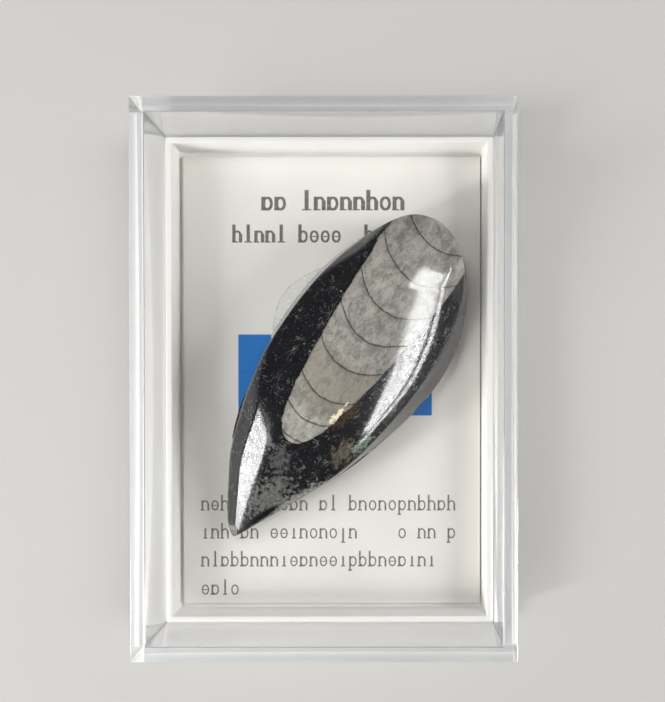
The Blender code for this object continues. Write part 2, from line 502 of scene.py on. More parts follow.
@dataclass(frozen=True)
class PolishedStone:
    """Black limestone, polished, with the pale calcite cone of the fossil in it, a painted glint, and steep
    sides painted paler, partly as reflection.
    """

    tip: tuple[float, float]
    heading: float
    underside: float
    cone_tip: float = 17.9              # mm from the stone's tip, along its axis
    cone_height: float = 10.0           # the cone's axis above the stone's underside
    cone_spread: float = 1.95
    cone_power: float = 0.37
    axis_offset: float = 2.0
    axis_lean: float = -0.048
    septa: tuple[float, ...] = (18.8, 22.35, 26.55, 31.95, 37.25, 42.45, 48.45, 54.6)
    septum_bow: float = 0.082
    warm_chamber: float = 28.5          # its middle, along the axis
    ior: float = 1.6
    polish: float = 0.09                # roughness at its best
    relief: float = 0.0035 * MM
    speck_layers: tuple[tuple[float, float, float], ...] = (        # scale, share left out, strength
        (2.2, 0.8, 0.9), (4.2, 0.66, 0.7), (7.5, 0.55, 0.5))
    black: Colour = (0.0065, 0.007, 0.009)
    speck: Colour = (0.42, 0.42, 0.40)
    # paler grey of steep sides: partly their duller ground finish, partly painted reflection of the white
    # card
    ground: Colour = (0.11, 0.11, 0.107)
    calcite_dark: Colour = (0.215, 0.207, 0.185)
    calcite_light: Colour = (0.455, 0.44, 0.392)
    calcite_warm: Colour = (0.33, 0.28, 0.215)
    calcite_cool: Colour = (0.27, 0.275, 0.262)
    septum: Colour = (0.05, 0.037, 0.027)
    patches: tuple[Patch, ...] = (
        Patch((8.9, -1.2), (4.6, 2.7), -14.0, (0.2, 0.195, 0.18), 0.7, 1.9),
        Patch((15.0, 0.9), (2.3, 1.6), 20.0, (0.11, 0.11, 0.115), 0.7, 1.9),
        Patch((16.6, 4.2), (1.5, 0.9), 60.0, (0.15, 0.15, 0.155), 0.7, 2.0),
        Patch((10.4, -5.0), (6.6, 1.5), -26.0, (0.36, 0.355, 0.33), 0.85, 1.3),
        Patch((5.7, -1.8), (3.9, 0.6), -22.0, (0.006, 0.006, 0.008), 1.0, 0.7),
        Patch((0.5, 1.1), (0.9, 1.1), 0.0, (0.30, 0.30, 0.29), 0.8, 1.6),
        Patch((21.2, -6.9), (2.6, 1.5), -15.0, (0.15, 0.13, 0.095), 0.8, 2.2),
        Patch((23.7, -8.4), (2.0, 0.8), -20.0, (0.26, 0.33, 0.27), 0.8, 1.8),
        Patch((26.2, -4.0), (3.3, 1.1), -14.0, (0.075, 0.045, 0.024), 0.75, 1.6),
    )
    # painted highlight: a warm near-white glint along the calcite's edge
    painted_glint: Patch = Patch((25.7, -2.9), (2.0, 0.42), -11.0, (1.0, 0.92, 0.66), 1.0, 1.6, 0.3)

    def material(self) -> bpy.types.Material:
        """Build the finish.

        Returns:
            Its material.
        """
        nodes = Nodes("polished limestone")
        unturned = Matrix.Rotation(-self.heading, 2) @ Vector(self.tip)
        place = nodes.moved(nodes.place, (-unturned.x / MM, -unturned.y / MM, -self.underside / MM),
                            -self.heading, (1 / MM,) * 3)
        along, side, up = nodes.split(place)
        wobble = nodes.noise(place, 0.32, 3.0) - 0.5
        jag = nodes.noise(place, 1.5, 4.0, 0.65) - 0.5
        off_axis = side - self.axis_offset - self.axis_lean * along
        depth = (up - self.cone_height) * 0.9
        off_squared = off_axis * off_axis
        depth_squared = depth * depth
        reach = self.cone_spread * nodes.highest(along - self.cone_tip, 0.0001) ** self.cone_power
        outside = nodes.math("SQRT", off_squared + depth_squared) - reach + 0.8 * wobble + 0.55 * jag
        in_cone = nodes.fall(outside, -0.07, 0.07)
        bowed = along - self.septum_bow * (off_squared + 0.3 * depth_squared) + 0.3 * jag + 0.5 * wobble

        limestone, pale = self.limestone(nodes, place, along, side, jag)
        # steep sides turn paler grey: partly their duller ground finish, partly painted reflection of the
        # white card
        steep_ground_and_reflection = nodes.fall(nodes.split(nodes.facing)[2], 0.52, 0.68)
        limestone = nodes.blend(0.8 * steep_ground_and_reflection, limestone, self.ground)
        calcite = self.calcite(nodes, place, bowed, wobble, outside)
        calcite = nodes.blend(self.seams(nodes, bowed, jag), calcite, self.septum)
        colour = nodes.blend(in_cone, limestone, calcite)
        # painted highlight: the glint laid over everything
        colour = nodes.blend(self.oval(nodes, along, side, jag, self.painted_glint), colour, self.painted_glint.colour)
        pits = nodes.noise(place, 6.0, 3.0, 0.7)
        dull = nodes.rise(pits, 0.45, 0.75)
        pitted = nodes.rise(nodes.split(nodes.cells(place, 5.5, "Color"))[1], 0.75, 0.95)
        pitted = pitted * nodes.fall(nodes.cells(place, 5.5), 0.25, 0.5)
        wear = (1 - in_cone) * (0.01 + 0.04 * dull + 0.16 * pitted) + 0.05 * in_cone * dull
        nodes.set(Base_Color=colour, IOR=self.ior, Roughness=self.polish + wear)
        nodes.bump((1 - in_cone) * pits * 0.06 + in_cone * pits * 0.12 + 0.06 * pale, self.relief)
        return nodes.material

    def oval(self, nodes: Nodes, along: Wire, side: Wire, jag: Wire, patch: Patch) -> Wire:
        """How much of a patch shows.

        Args:
            nodes: the finish's tree.
            along, side: place in the stone's own frame, in mm.
            jag: fine noise about 0 that frays its edge.
            patch: the stain, or the painted glint.

        Returns:
            0 where there is none of it, up to its cover.
        """
        turn = math.radians(patch.turn)
        x, y = along - patch.centre[0], side - patch.centre[1]
        long_way = (x * math.cos(turn) + y * math.sin(turn)) / patch.radii[0]
        short_way = (y * math.cos(turn) - x * math.sin(turn)) / patch.radii[1]
        size = nodes.math("SQRT", long_way * long_way + short_way * short_way)
        eaten = size + 2.2 * patch.ragged * jag
        return patch.cover * nodes.fall(eaten, 1.0 - patch.blur, 1.0 + 0.3 * patch.blur)

    def seams(self, nodes: Nodes, bowed: Wire, jag: Wire) -> Wire:
        """The dark lines of the septa, most with a soft brown shadow behind them.

        Args:
            nodes: the finish's tree.
            bowed: distance along the axis, bent as the septa are.
            jag: fine noise about 0 that frays the lines.

        Returns:
            How dark the lines are, 0 to 1.
        """
        nearest = nodes.lowest(*(abs(bowed - place) for place in self.septa))
        shadow = nodes.highest(*(nodes.rise(bowed - place, -0.8, 0.0) * nodes.fall(bowed - place, 0.0, 0.12)
                                 for place in self.septa[2:]))
        line = 0.92 * nodes.fall(nearest + 0.25 * jag, 0.0, 0.24) * nodes.rise(jag, -0.42, -0.05)
        return nodes.highest(line, 0.2 * shadow)

    def limestone(self, nodes: Nodes, place: Wire, along: Wire, side: Wire, jag: Wire) -> tuple[Wire, Wire]:
        """The black ground with its specks, threads and stains.

        Args:
            nodes: the finish's tree.
            place, along, side: place in the stone's own frame, in mm, and two of its numbers.
            jag: fine noise about 0.

        Returns:
            Its colour, and where the pale specks are.
        """
        crowding = nodes.rise(nodes.noise(place, 0.3, 2.0), 0.4, 0.62)
        cluster = nodes.rise(nodes.noise(place, 1.1, 2.0), 0.42, 0.66)
        specks = 0.0
        crowded = 0.2 + 0.9 * crowding * cluster
        for scale, share, strength in self.speck_layers:
            centre = nodes.cells(place, scale)
            pick = nodes.cells(place, scale, "Color")
            chosen = nodes.rise(nodes.split(pick)[0], share, 1.0)
            specks = strength * chosen * nodes.fall(centre, 0.1, 0.38) * crowded + specks
        swirl = nodes.noise(place, 0.7, 3.0, 0.5, 0.9)
        thread = nodes.fall(abs(swirl - 0.5), 0.0, 0.018)
        thread = thread * nodes.rise(nodes.noise(place, 0.55, 2.0), 0.5, 0.64)
        pale = nodes.lowest(specks + 0.5 * thread, 1.0)
        haze = nodes.rise(nodes.noise(place, 1.6, 5.0, 0.7), 0.52, 0.75) * (0.2 + 0.8 * crowding)
        colour = nodes.blend(nodes.lowest(pale + 0.04 * haze, 1.0), self.black, self.speck)
        for patch in self.patches:
            colour = nodes.blend(self.oval(nodes, along, side, jag, patch), colour, patch.colour)
        mottle = nodes.rise(nodes.noise(place, 2.2, 4.0, 0.7), 0.3, 0.66)
        return nodes.shade(colour, 0.45 + 0.8 * mottle), pale

    def calcite(self, nodes: Nodes, place: Wire, bowed: Wire, wobble: Wire, outside: Wire) -> Wire:
        """The cloudy pale calcite of the chambers.

        Args:
            nodes: the finish's tree.
            place: place in the stone's own frame, in mm.
            bowed: distance along the axis, bent as the septa are.
            wobble: broad noise about 0.
            outside: how far outside the cone a place is, in mm.

        Returns:
            Its colour.
        """
        cloud = nodes.noise(place, 0.42, 5.0, 0.62, 0.6)
        wisp = nodes.noise(nodes.moved(place, turn=0.7, scale=(0.7, 1.6, 1.0)), 1.1, 4.0, 0.6, 1.2)
        grain = nodes.noise(place, 4.5, 3.0, 0.7)
        tone = 0.45 * cloud + 0.33 * wisp + 0.22 * grain
        colour = nodes.blend(nodes.rise(tone, 0.4, 0.6), self.calcite_dark, self.calcite_light)
        thread = nodes.fall(abs(wisp - 0.52), 0.0, 0.03) * nodes.rise(cloud, 0.45, 0.6)
        colour = nodes.blend(0.45 * thread, colour, self.calcite_light)
        cool = nodes.rise(nodes.noise(place, 0.38, 3.0, 0.5, 1.5), 0.54, 0.68)
        colour = nodes.blend(0.6 * cool, colour, self.calcite_cool)
        warm = nodes.fall(abs(bowed - self.warm_chamber + 6.0 * wobble), 1.0, 6.0)
        colour = nodes.blend(warm * (0.2 + 0.5 * nodes.rise(cloud, 0.4, 0.6)), colour, self.calcite_warm)
        rim = nodes.rise(outside, -0.45, 0.05)
        return nodes.blend(rim * 0.4, colour, self.calcite_dark)


@dataclass(frozen=True)
class StudioPaper:
    """The pale sweep that the box stands on."""

    colour: Colour = (0.60, 0.59, 0.575)

    def material(self) -> bpy.types.Material:
        """Build the finish.

        Returns:
            Its material.
        """
        nodes = Nodes("studio paper")
        tone = nodes.noise(nodes.place, 6.0, 3.0)
        nodes.set(Base_Color=nodes.blend(tone, self.colour, tuple(0.96 * part for part in self.colour)),
                  Roughness=0.85, Specular_IOR_Level=0.2)
        return nodes.material


# ---- modelling -------------------------------------------------------------------------------

class Bench:
    """The steps of modelling by hand that the pieces share."""

    @staticmethod
    def clear() -> None:
        """Leave edit mode and deselect everything."""
        if bpy.context.object and bpy.context.object.mode != "OBJECT":
            bpy.ops.object.mode_set(mode="OBJECT")
        bpy.ops.object.select_all(action="DESELECT")

    @staticmethod
    def pick(obj: bpy.types.Object) -> None:
        """Select one object alone and make it the active one.

        Args:
            obj: the object.
        """
        Bench.clear()
        obj.select_set(True)
        bpy.context.view_layer.objects.active = obj

    @staticmethod
    def settle(name: str) -> bpy.types.Object:
        """Name the new primitive and apply its place to its mesh.

        Args:
            name: the name of the object and its mesh.

        Returns:
            The object.
        """
        obj = bpy.context.object
        obj.name = obj.data.name = name
        bpy.ops.object.transform_apply(location=True, rotation=True, scale=True)
        return obj

    @staticmethod
    def block(name: str, low: Vector, high: Vector) -> bpy.types.Object:
        """Add a block.

        Args:
            name: its name.
            low, high: two opposite corners.

        Returns:
            The block.
        """
        Bench.clear()
        bpy.ops.mesh.primitive_cube_add(size=1.0, location=(low + high) / 2, scale=high - low)
        return Bench.settle(name)

    @staticmethod
    def edit(obj: bpy.types.Object) -> None:
        """Open one object in edit mode with nothing selected in it.

        Args:
            obj: the object.
        """
        Bench.pick(obj)
        bpy.ops.object.mode_set(mode="EDIT")
        bpy.ops.mesh.select_mode(type="FACE")
        bpy.ops.mesh.select_all(action="DESELECT")

    @staticmethod
    def pick_face(height: float, facing: float) -> None:
        """Select the level faces at a height, and nothing else.

        Args:
            height: the faces' height.
            facing: 1 for faces that look up, -1 for faces that look down.
        """
        mesh = bmesh.from_edit_mesh(bpy.context.object.data)
        for face in mesh.faces:
            level = abs(face.calc_center_median().z - height) < NEAR
            face.select_set(level and face.normal.z * facing > 0.9)
        bmesh.update_edit_mesh(bpy.context.object.data)

    @staticmethod
    def inset(distance: float) -> None:
        """Inset the selected faces evenly."""
        bpy.ops.mesh.inset(thickness=distance, use_even_offset=True)

    @staticmethod
    def extrude(rise: float) -> None:
        """Extrude the selected faces along Z."""
        bpy.ops.mesh.extrude_region_move(TRANSFORM_OT_translate={"value": (0.0, 0.0, rise)})

    @staticmethod
    def shrink(from_size: tuple[float, float], lean: float) -> None:
        """Move each side of the selected oblong in by lean."""
        factors = tuple((size - 2 * lean) / size for size in from_size)
        bpy.ops.transform.resize(value=(*factors, 1.0), center_override=(0.0, 0.0, 0.0))

    @staticmethod
    def round_above(height: float, rounding: float) -> None:
        """Round the edges that reach above a height.

        Args:
            height: the height.
            rounding: the bevel's width.
        """
        mesh = bmesh.from_edit_mesh(bpy.context.object.data)
        bpy.ops.mesh.select_mode(type="EDGE")
        for edge in mesh.edges:
            edge.select_set(max(vert.co.z for vert in edge.verts) > height)
        bmesh.update_edit_mesh(bpy.context.object.data)
        bpy.ops.mesh.bevel(offset=rounding, segments=3, affect="EDGES", clamp_overlap=True)

    @staticmethod
    def finish(obj: bpy.types.Object, rounding: float = 0.0, steps: int = 3,
               smooth: float = 35.0) -> None:
        """Round an object's edges with an applied Bevel, if that is asked for, and shade it smooth.

        Args:
            obj: the object.
            rounding: the Bevel's width, or 0 for no Bevel.
            steps: the Bevel's segments.
            smooth: the angle, in degrees, past which an edge is still shaded sharp.
        """
        Bench.pick(obj)
        if rounding:
            bevel = obj.modifiers.new("round", "BEVEL")
            bevel.width = rounding
            bevel.segments = steps
            bevel.limit_method = "ANGLE"
            bevel.angle_limit = math.radians(40)
            bpy.ops.object.modifier_apply(modifier=bevel.name)
        bpy.ops.object.shade_smooth_by_angle(angle=math.radians(smooth))

    @staticmethod
    def dress(obj: bpy.types.Object, material: bpy.types.Material, slot: Slot, *nodes: str) -> None:
        """Give a finished piece its material and body, hide the CAD nodes that it stands for, and log its
        slot.

        Args:
            obj: the piece.
            material: its finish.
            slot: its material slot in the record; only logged.
            nodes: the CAD nodes that it replaces, if any.
        """
        obj.data.materials.clear()
        obj.data.materials.append(material)
        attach(obj, "root")
        if nodes:
            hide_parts(*nodes)
        log.info("%s: %d faces, %s", obj.name, len(obj.data.polygons), slot.value)


# ---- the box ---------------------------------------------------------------------------------

@dataclass
class DisplayTray:
    """The white tray: flange, raised rim, shallow well, and a recess below."""

    flange: float = 2.0 * MM
    setback: float = 1.62 * MM
    rim_thickness: float = 0.98 * MM
    floor: float = 1.2 * MM
    draft: float = 0.45 * MM
    foot: float = 2.4 * MM
    recess: float = 0.45 * MM
    rounding: float = 0.22 * MM

    def build(self) -> None:
        """Model the tray over its CAD node."""
        low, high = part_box("base_tray")
        tray = Bench.block("tray_moulding", low, Vector((high.x, high.y, self.flange)))
        Bench.edit(tray)
        Bench.pick_face(self.flange, 1)
        Bench.inset(self.setback)
        Bench.extrude(high.z - self.flange)
        Bench.inset(self.rim_thickness)
        Bench.extrude(self.floor - high.z)
        inner = tuple(2 * (edge - self.setback - self.rim_thickness) for edge in high.xy)
        Bench.shrink(inner, self.draft)
        Bench.pick_face(low.z, -1)
        Bench.inset(self.foot)
        Bench.extrude(self.recess)
        Bench.finish(tray, self.rounding)
        Bench.dress(tray, WhitePlastic().material(), Slot.TRAY, "base_tray")


@dataclass
class ClearLid:
    """The clear lid: a flat top and four walls that thin towards the mouth."""

    flange: float = 2.0 * MM
    top: float = 1.5 * MM
    wall: float = 1.47 * MM
    draft: float = 0.45 * MM
    rounding: float = 0.2 * MM

    def build(self) -> None:
        """Model the lid over its CAD node."""
        low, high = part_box("clear_lid")
        mouth = self.flange + TOUCH
        lid = Bench.block("lid_moulding", Vector((low.x, low.y, mouth)), high)
        Bench.edit(lid)
        Bench.pick_face(mouth, -1)
        Bench.inset(self.wall)
        Bench.extrude(high.z - self.top - mouth)
        Bench.shrink(tuple(2 * (edge - self.wall) for edge in high.xy), self.draft)
        Bench.round_above(mouth + 0.1 * MM, self.rounding)
        Bench.finish(lid)
        Bench.dress(lid, ClearPlastic().material(), Slot.LID, "clear_lid")
        lid.visible_shadow = lid.visible_diffuse = False


@dataclass
class LabelCard:
    """The printed card that lies in the tray, a little bowed."""

    cuts: int = 23
    bow: float = 0.10 * MM
    flatter_right: float = 0.4          # the right side's share of the bow

    def build(self) -> None:
        """Model the card over its CAD node."""
        low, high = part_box("label_card")
        card = Bench.block("label_card_printed", low, high)
        Bench.edit(card)
        bpy.ops.mesh.select_all(action="SELECT")
        bpy.ops.mesh.subdivide(number_cuts=self.cuts)
        Bench.clear()
        middle = (low + high) / 2
        half = (high - low) / 2
        for vert in card.data.vertices:
            across = (vert.co.x - middle.x) / half.x
            lengthways = (vert.co.y - middle.y) / half.y
            side = 1.0 if across < 0 else self.flatter_right
            vert.co.z += self.bow * (0.7 * across ** 2 * side + 0.3 * lengthways ** 4)
        Bench.dress(card, LabelPaper().material(), Slot.CARD, "label_card")


@dataclass
class GluePad:
    """The pad of clear glue between card and stone, squeezed out to an uneven edge."""

    sides: int = 96
    levels: tuple[tuple[float, float], ...] = (     # share of the radius at a share of the height
        (0.90, 0.0), (0.985, 0.12), (1.0, 0.35), (0.985, 0.65), (0.93, 1.0))
    waves: tuple[tuple[int, float, float], ...] = (     # waves round the edge, their size and start
        (2, 0.022, 0.6), (3, 0.018, 2.1), (5, 0.012, 0.9), (9, 0.006, 4.0))
    loss: float = 0.03                  # share of the radius that makes room for the waves

    def build(self) -> None:
        """Model the pad over its CAD node."""
        low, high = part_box("glue_pad")
        centre, radius = (low + high) / 2, (high.x - low.x) / 2
        floor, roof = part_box("label_card")[1].z + TOUCH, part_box("polished_fossil")[0].z - TOUCH
        Bench.clear()
        bpy.ops.mesh.primitive_circle_add(vertices=self.sides, radius=radius * self.levels[0][0],
                                          fill_type="NGON", location=(centre.x, centre.y, floor))
        pad = Bench.settle("glue_pad_clear")
        Bench.edit(pad)
        bpy.ops.mesh.select_all(action="SELECT")
        for (before, low_share), (after, high_share) in zip(self.levels, self.levels[1:]):
            Bench.extrude((high_share - low_share) * (roof - floor))
            bpy.ops.transform.resize(value=(after / before, after / before, 1.0),
                                     center_override=(centre.x, centre.y, floor))
        bpy.ops.mesh.select_all(action="SELECT")
        bpy.ops.mesh.normals_make_consistent(inside=False)
        Bench.clear()
        for vert in pad.data.vertices:
            arm = Vector((vert.co.x - centre.x, vert.co.y - centre.y))
            angle = math.atan2(arm.y, arm.x)
            swell = sum(size * math.sin(count * angle + start) for count, size, start in self.waves)
            swell -= self.loss
            vert.co.x += arm.x * swell
            vert.co.y += arm.y * swell
        Bench.finish(pad, 0.05 * MM, steps=1, smooth=60.0)
        pad.visible_shadow = pad.visible_diffuse = False
        Bench.dress(pad, ClearGlue().material(), Slot.GLUE, "glue_pad")


# ---- the stone -------------------------------------------------------------------------------

@dataclass(frozen=True)
class Flank:
    """How one side of the stone is ground and domed.

    Each table gives (distance along the axis, value). Widths are in from the outline, tilts in degrees.
    """

    side: tuple[tuple[float, float], ...]           # where the steep side ends
    facet: tuple[tuple[float, float], ...]          # where the ground facet ends, at the arris
    facet_tilt: tuple[tuple[float, float], ...]
    shoulder: tuple[tuple[float, float], ...]       # width of the dome's flattest part, above the arris
    tilt: tuple[tuple[float, float], ...]           # of that part
    bend: tuple[tuple[float, float], ...]           # how fast it steepens outwards
    arris: tuple[tuple[float, float], ...]          # how rounded the arris is

    def at(self, along: float) -> tuple[float, ...]:
        """The tables' values at a distance, smoothed, with the angles in radians.

        Args:
            along: distance along the axis.

        Returns:
            Side, facet, facet tilt, shoulder, tilt, bend and arris.
        """
        ends = self.side[0][0], self.side[-1][0]
        reach = max(0.0, min(along - ends[0], ends[1] - along, 3.0))
        near = along + np.linspace(-reach, reach, 9)
        side, facet, facet_tilt, shoulder, tilt, bend, arris = (
            float(np.interp(near, *zip(*table)).mean()) for table in (
                self.side, self.facet, self.facet_tilt, self.shoulder, self.tilt, self.bend, self.arris))
        return side, facet, math.radians(facet_tilt), shoulder, math.radians(tilt), bend, arris


@dataclass
class FossilStone:
    """The polished stone: sawn below, domed on top, with facets ground along its sides.

    Its own frame runs from the tip along its axis, then to the left, then up from its underside, in mm.
    """

    tip: tuple[float, float] = (-15.1 * MM, -25.0 * MM)
    heading: float = math.radians(56.25)
    outline: tuple[tuple[float, float], ...] = (        # at the widest level, round from the tip
        (0.0, 0.0), (4.0, -2.0), (10.6, -5.2), (17.4, -8.4), (25.2, -11.0), (33.7, -12.95), (40.4, -13.3),
        (46.4, -12.2), (52.0, -9.7), (56.6, -5.8), (58.9, -1.1), (58.2, 3.8), (54.8, 7.3), (48.9, 10.5),
        (41.8, 12.5), (33.8, 13.2), (26.5, 12.75), (18.7, 11.0), (11.8, 8.6), (6.0, 5.55), (3.4, 3.9),
        (1.4, 2.6), (-0.1, 1.0),
    )
    crest: tuple[tuple[float, float], tuple[float, float]] = ((12.7, -1.0), (52.3, 2.7))
    ridge: tuple[float, ...] = (9.3, 8.0, 10.74, 11.47, 11.93, 10.26)      # its height at even steps
    length: float = 60.0
    waist: float = 1.3                  # height of the widest level
    low_waist: tuple[float, float] = (14.0, 0.25)       # where it starts to sink, and its share at the tip
    least_brink: float = 0.12           # the facet's lowest edge, as a share of the arris's height
    foot: tuple[tuple[float, float], ...] = (           # depth in, and share of the widest level's height
        (0.5, 0.0), (0.25, 0.09), (0.07, 0.35), (0.0, 0.7))
    softness: float = 0.12              # of the edges between dome, flat, facet and side
    right: Flank = Flank(
        side=((0.0, 0.3), (12.0, 0.4), (20.0, 0.7), (26.0, 1.2), (32.0, 1.8), (38.0, 2.2), (44.0, 2.2),
              (49.0, 1.3), (54.0, 0.5), (60.0, 0.3)),
        facet=((0.0, 0.7), (6.0, 1.0), (14.0, 1.6), (20.0, 2.3), (25.0, 2.8), (30.0, 3.3), (35.0, 3.6),
               (40.0, 4.3), (46.0, 4.3), (50.0, 4.5), (53.3, 4.3), (55.3, 2.6), (57.0, 1.0), (60.0, 0.4)),
        facet_tilt=((0.0, 46.0), (10.0, 43.0), (50.0, 43.0), (60.0, 46.0)),
        shoulder=((0.0, 1.2), (10.0, 1.3), (24.0, 1.6), (34.0, 3.8), (50.0, 5.85),
                  (53.0, 4.8), (56.0, 3.0), (60.0, 1.5)),
        tilt=((0.0, 30.0), (4.0, 24.7), (10.0, 18.0), (20.0, 19.8), (32.0, 25.8), (44.0, 27.0), (54.0, 26.5),
              (60.0, 26.8)),
        bend=((0.0, 0.0), (12.0, 0.105), (30.0, 0.105), (38.0, 0.085), (52.0, 0.085), (60.0, 0.03)),
        arris=((0.0, 0.06), (20.0, 0.12), (50.0, 0.12), (60.0, 0.06)))
    left: Flank = Flank(
        side=((0.0, 0.08), (6.0, 0.1), (12.0, 0.1), (16.0, 0.5), (22.0, 1.0), (30.0, 1.2), (42.0, 1.2),
              (52.0, 0.9), (56.0, 0.4), (60.0, 0.3)),
        facet=((0.0, 1.2), (1.5, 2.3), (5.0, 2.3), (7.0, 2.2), (9.0, 2.35), (11.0, 2.65), (13.7, 3.2),
               (16.3, 3.5), (20.0, 2.8), (24.0, 2.0), (27.0, 1.5), (32.0, 1.4), (40.0, 1.4), (44.0, 1.8),
               (48.0, 2.7), (50.5, 3.0), (52.5, 2.0), (54.5, 1.0), (60.0, 0.4)),
        facet_tilt=((0.0, 46.0), (6.0, 50.0), (50.0, 50.0), (60.0, 46.0)),
        shoulder=((0.0, 1.2), (4.0, 2.4), (10.0, 3.66), (17.0, 2.16), (25.0, 2.7), (48.0, 2.7), (52.0, 2.0),
                  (60.0, 1.5)),
        tilt=((0.0, 20.0), (4.0, 17.5), (8.0, 17.5), (13.0, 17.3), (18.0, 12.7), (24.0, 15.7), (34.0, 27.0),
              (60.0, 26.8)),
        bend=((0.0, 0.0), (6.0, 0.008), (18.0, 0.008), (26.0, 0.0), (50.0, 0.0), (60.0, 0.03)),
        arris=((0.0, 0.05), (16.0, 0.05), (24.0, 0.2), (54.0, 0.15), (60.0, 0.05)))
    bevel_plane: tuple[float, float, float] = (1.33, 0.474, 0.330)      # its height, climb and lean
    bevel_brow: tuple[tuple[float, float], ...] = (     # its right edge: along the axis, to the left
        (0.0, -0.4), (3.6, 0.9), (5.7, 1.6), (8.6, 2.4), (10.9, 2.9), (13.4, 3.5), (15.3, 4.0),
        (16.6, 4.4), (22.0, 6.5))
    bevel_roll: float = 2.0             # how far past that edge it still curves
    side_columns: int = 150             # along each side, tip to end
    base_rows: int = 8
    side_rows: int = 8
    facet_rows: int = 10
    arris_rows: int = 10
    arris_reach: float = 0.35           # how far those rows reach on either side of it
    dome_rows: int = 34

    def closed_curve(self, steps: int = 40) -> np.ndarray:
        """Trace the closed Catmull-Rom curve through the outline.

        Args:
            steps: how many points there are from one given point to the next.

        Returns:
            The fine points.
        """
        given = np.array(self.outline)
        t = (np.arange(steps) / steps)[:, None]
        before, after, beyond = np.roll(given, 1, 0), np.roll(given, -1, 0), np.roll(given, -2, 0)
        spans = [0.5 * (2 * b + (c - a) * t + (2 * a - 5 * b + 4 * c - d) * t ** 2
                        + (3 * b - a - 3 * c + d) * t ** 3)
                 for a, b, c, d in zip(before, given, after, beyond)]
        return np.concatenate(spans)

    def sides(self) -> tuple[np.ndarray, np.ndarray]:
        """Match points along the right and left sides.

        Returns:
            Both lines of points, from the tip to the far end.
        """
        curve = self.closed_curve()
        far = int(curve[:, 0].argmax())
        right, left = curve[:far + 1], np.vstack([curve[:1], curve[:far - 1:-1]])
        return tuple(self.spaced(side, self.side_columns + 1) for side in (right, left))

    @staticmethod
    def spaced(points: np.ndarray, count: int) -> np.ndarray:
        """Space points evenly along a line.

        Args:
            points: the line.
            count: how many points to make.

        Returns:
            The new points.
        """
        steps = np.hypot(*np.diff(points, axis=0).T)
        length = np.concatenate([[0.0], np.cumsum(steps)])
        places = np.linspace(0.0, length[-1], count)
        return np.stack([np.interp(places, length, points[:, axis]) for axis in (0, 1)], 1)

    def roof(self, along: np.ndarray) -> np.ndarray:
        """Height of the crest at a distance along the axis."""
        curve = np.polyfit(np.linspace(0.0, 1.0, len(self.ridge)), self.ridge, len(self.ridge) - 1)
        return np.polyval(curve, np.clip(along / self.length, 0.0, 1.0))

    def section(self, point: np.ndarray, share: float, flank: Flank) -> np.ndarray:
        """One section of the stone, from the crest line under it, out to its edge and up to the crest.

        Args:
            point: the section's place on the outline.
            share: how far along the crest line it meets it, 0 to 1.
            flank: the shape of the side that it is on.

        Returns:
            Points in the stone's own frame.
        """
        start, end = np.array(self.crest)
        inward = start + (end - start) * share - point
        span = float(np.hypot(*inward))
        side, facet, tilt, shoulder, lean, bend, soft = flank.at(point[0])
        waist = self.waist * float(np.interp(point[0], (0.0, self.low_waist[0]), (self.low_waist[1], 1.0)))
        near = min(self.arris_reach, 0.4 * (facet - side))
        depth = np.concatenate([
            np.linspace(0.0, side, self.side_rows, endpoint=False),
            np.linspace(side, facet - near, self.facet_rows, endpoint=False),
            np.linspace(facet - near, facet + near, self.arris_rows, endpoint=False),
            facet + near + (span - facet - near) * np.linspace(0.0, 1.0, self.dome_rows) ** 1.1])

        def skin(into: np.ndarray) -> np.ndarray:
            """Height of the dome and the bevel on it.

            Args:
                into: depths in from the outline.

            Returns:
                A height for each depth.
            """
            turn = max(span - facet - shoulder, 0.35 * span)
            away = span - into
            share_turned, past = np.minimum(away / turn, 1.0), np.maximum(away - turn, 0.0)
            drop = turn * (share_turned ** 2 - share_turned ** 3 / 3) + past + bend / 2 * past ** 2
            place = point + np.outer(into / span, inward)
            dome = self.roof(place[:, 0]) - math.tan(lean) * drop
            return self.lower(dome, self.bevel(place), self.softness)

        arris = float(skin(np.array([facet]))[0])
        brink = max(arris - math.tan(tilt) * (facet - side), waist + self.least_brink * (arris - waist))
        ground = self.lower(arris + (arris - brink) / (facet - side) * (depth - facet),
                            waist + (brink - waist) * depth / side, self.softness)
        height = self.lower(skin(depth), ground, soft)
        foot_depth, foot_height = np.array(self.foot).T
        under = np.linspace(span, foot_depth[0], self.base_rows, endpoint=False)
        depth = np.concatenate([under, foot_depth, depth])
        height = np.concatenate([0 * under, foot_height * waist, height])
        return np.column_stack([point + np.outer(depth / span, inward), height])

    def bevel(self, place: np.ndarray) -> np.ndarray:
        """Height of the flat that is ground by the tip, rolled over along its right side.

        Args:
            place: points in the stone's own frame.

        Returns:
            A height for each point.
        """
        along, across = place.T
        brow = np.interp(along, *zip(*self.bevel_brow))
        past = np.minimum(np.maximum(brow - across, 0.0), self.bevel_roll)
        level, climb, lean = self.bevel_plane
        rolled = np.maximum(across, brow) - past + past ** 2 / (2 * self.bevel_roll)
        return level + climb * along - lean * rolled

    @staticmethod
    def lower(first: np.ndarray, second: np.ndarray, softness: float) -> np.ndarray:
        """The lower of two heights, with a rounded edge where they cross."""
        gap = np.clip((second - first) / softness, -40.0, 40.0)
        return first - softness * np.log1p(np.exp(-gap))

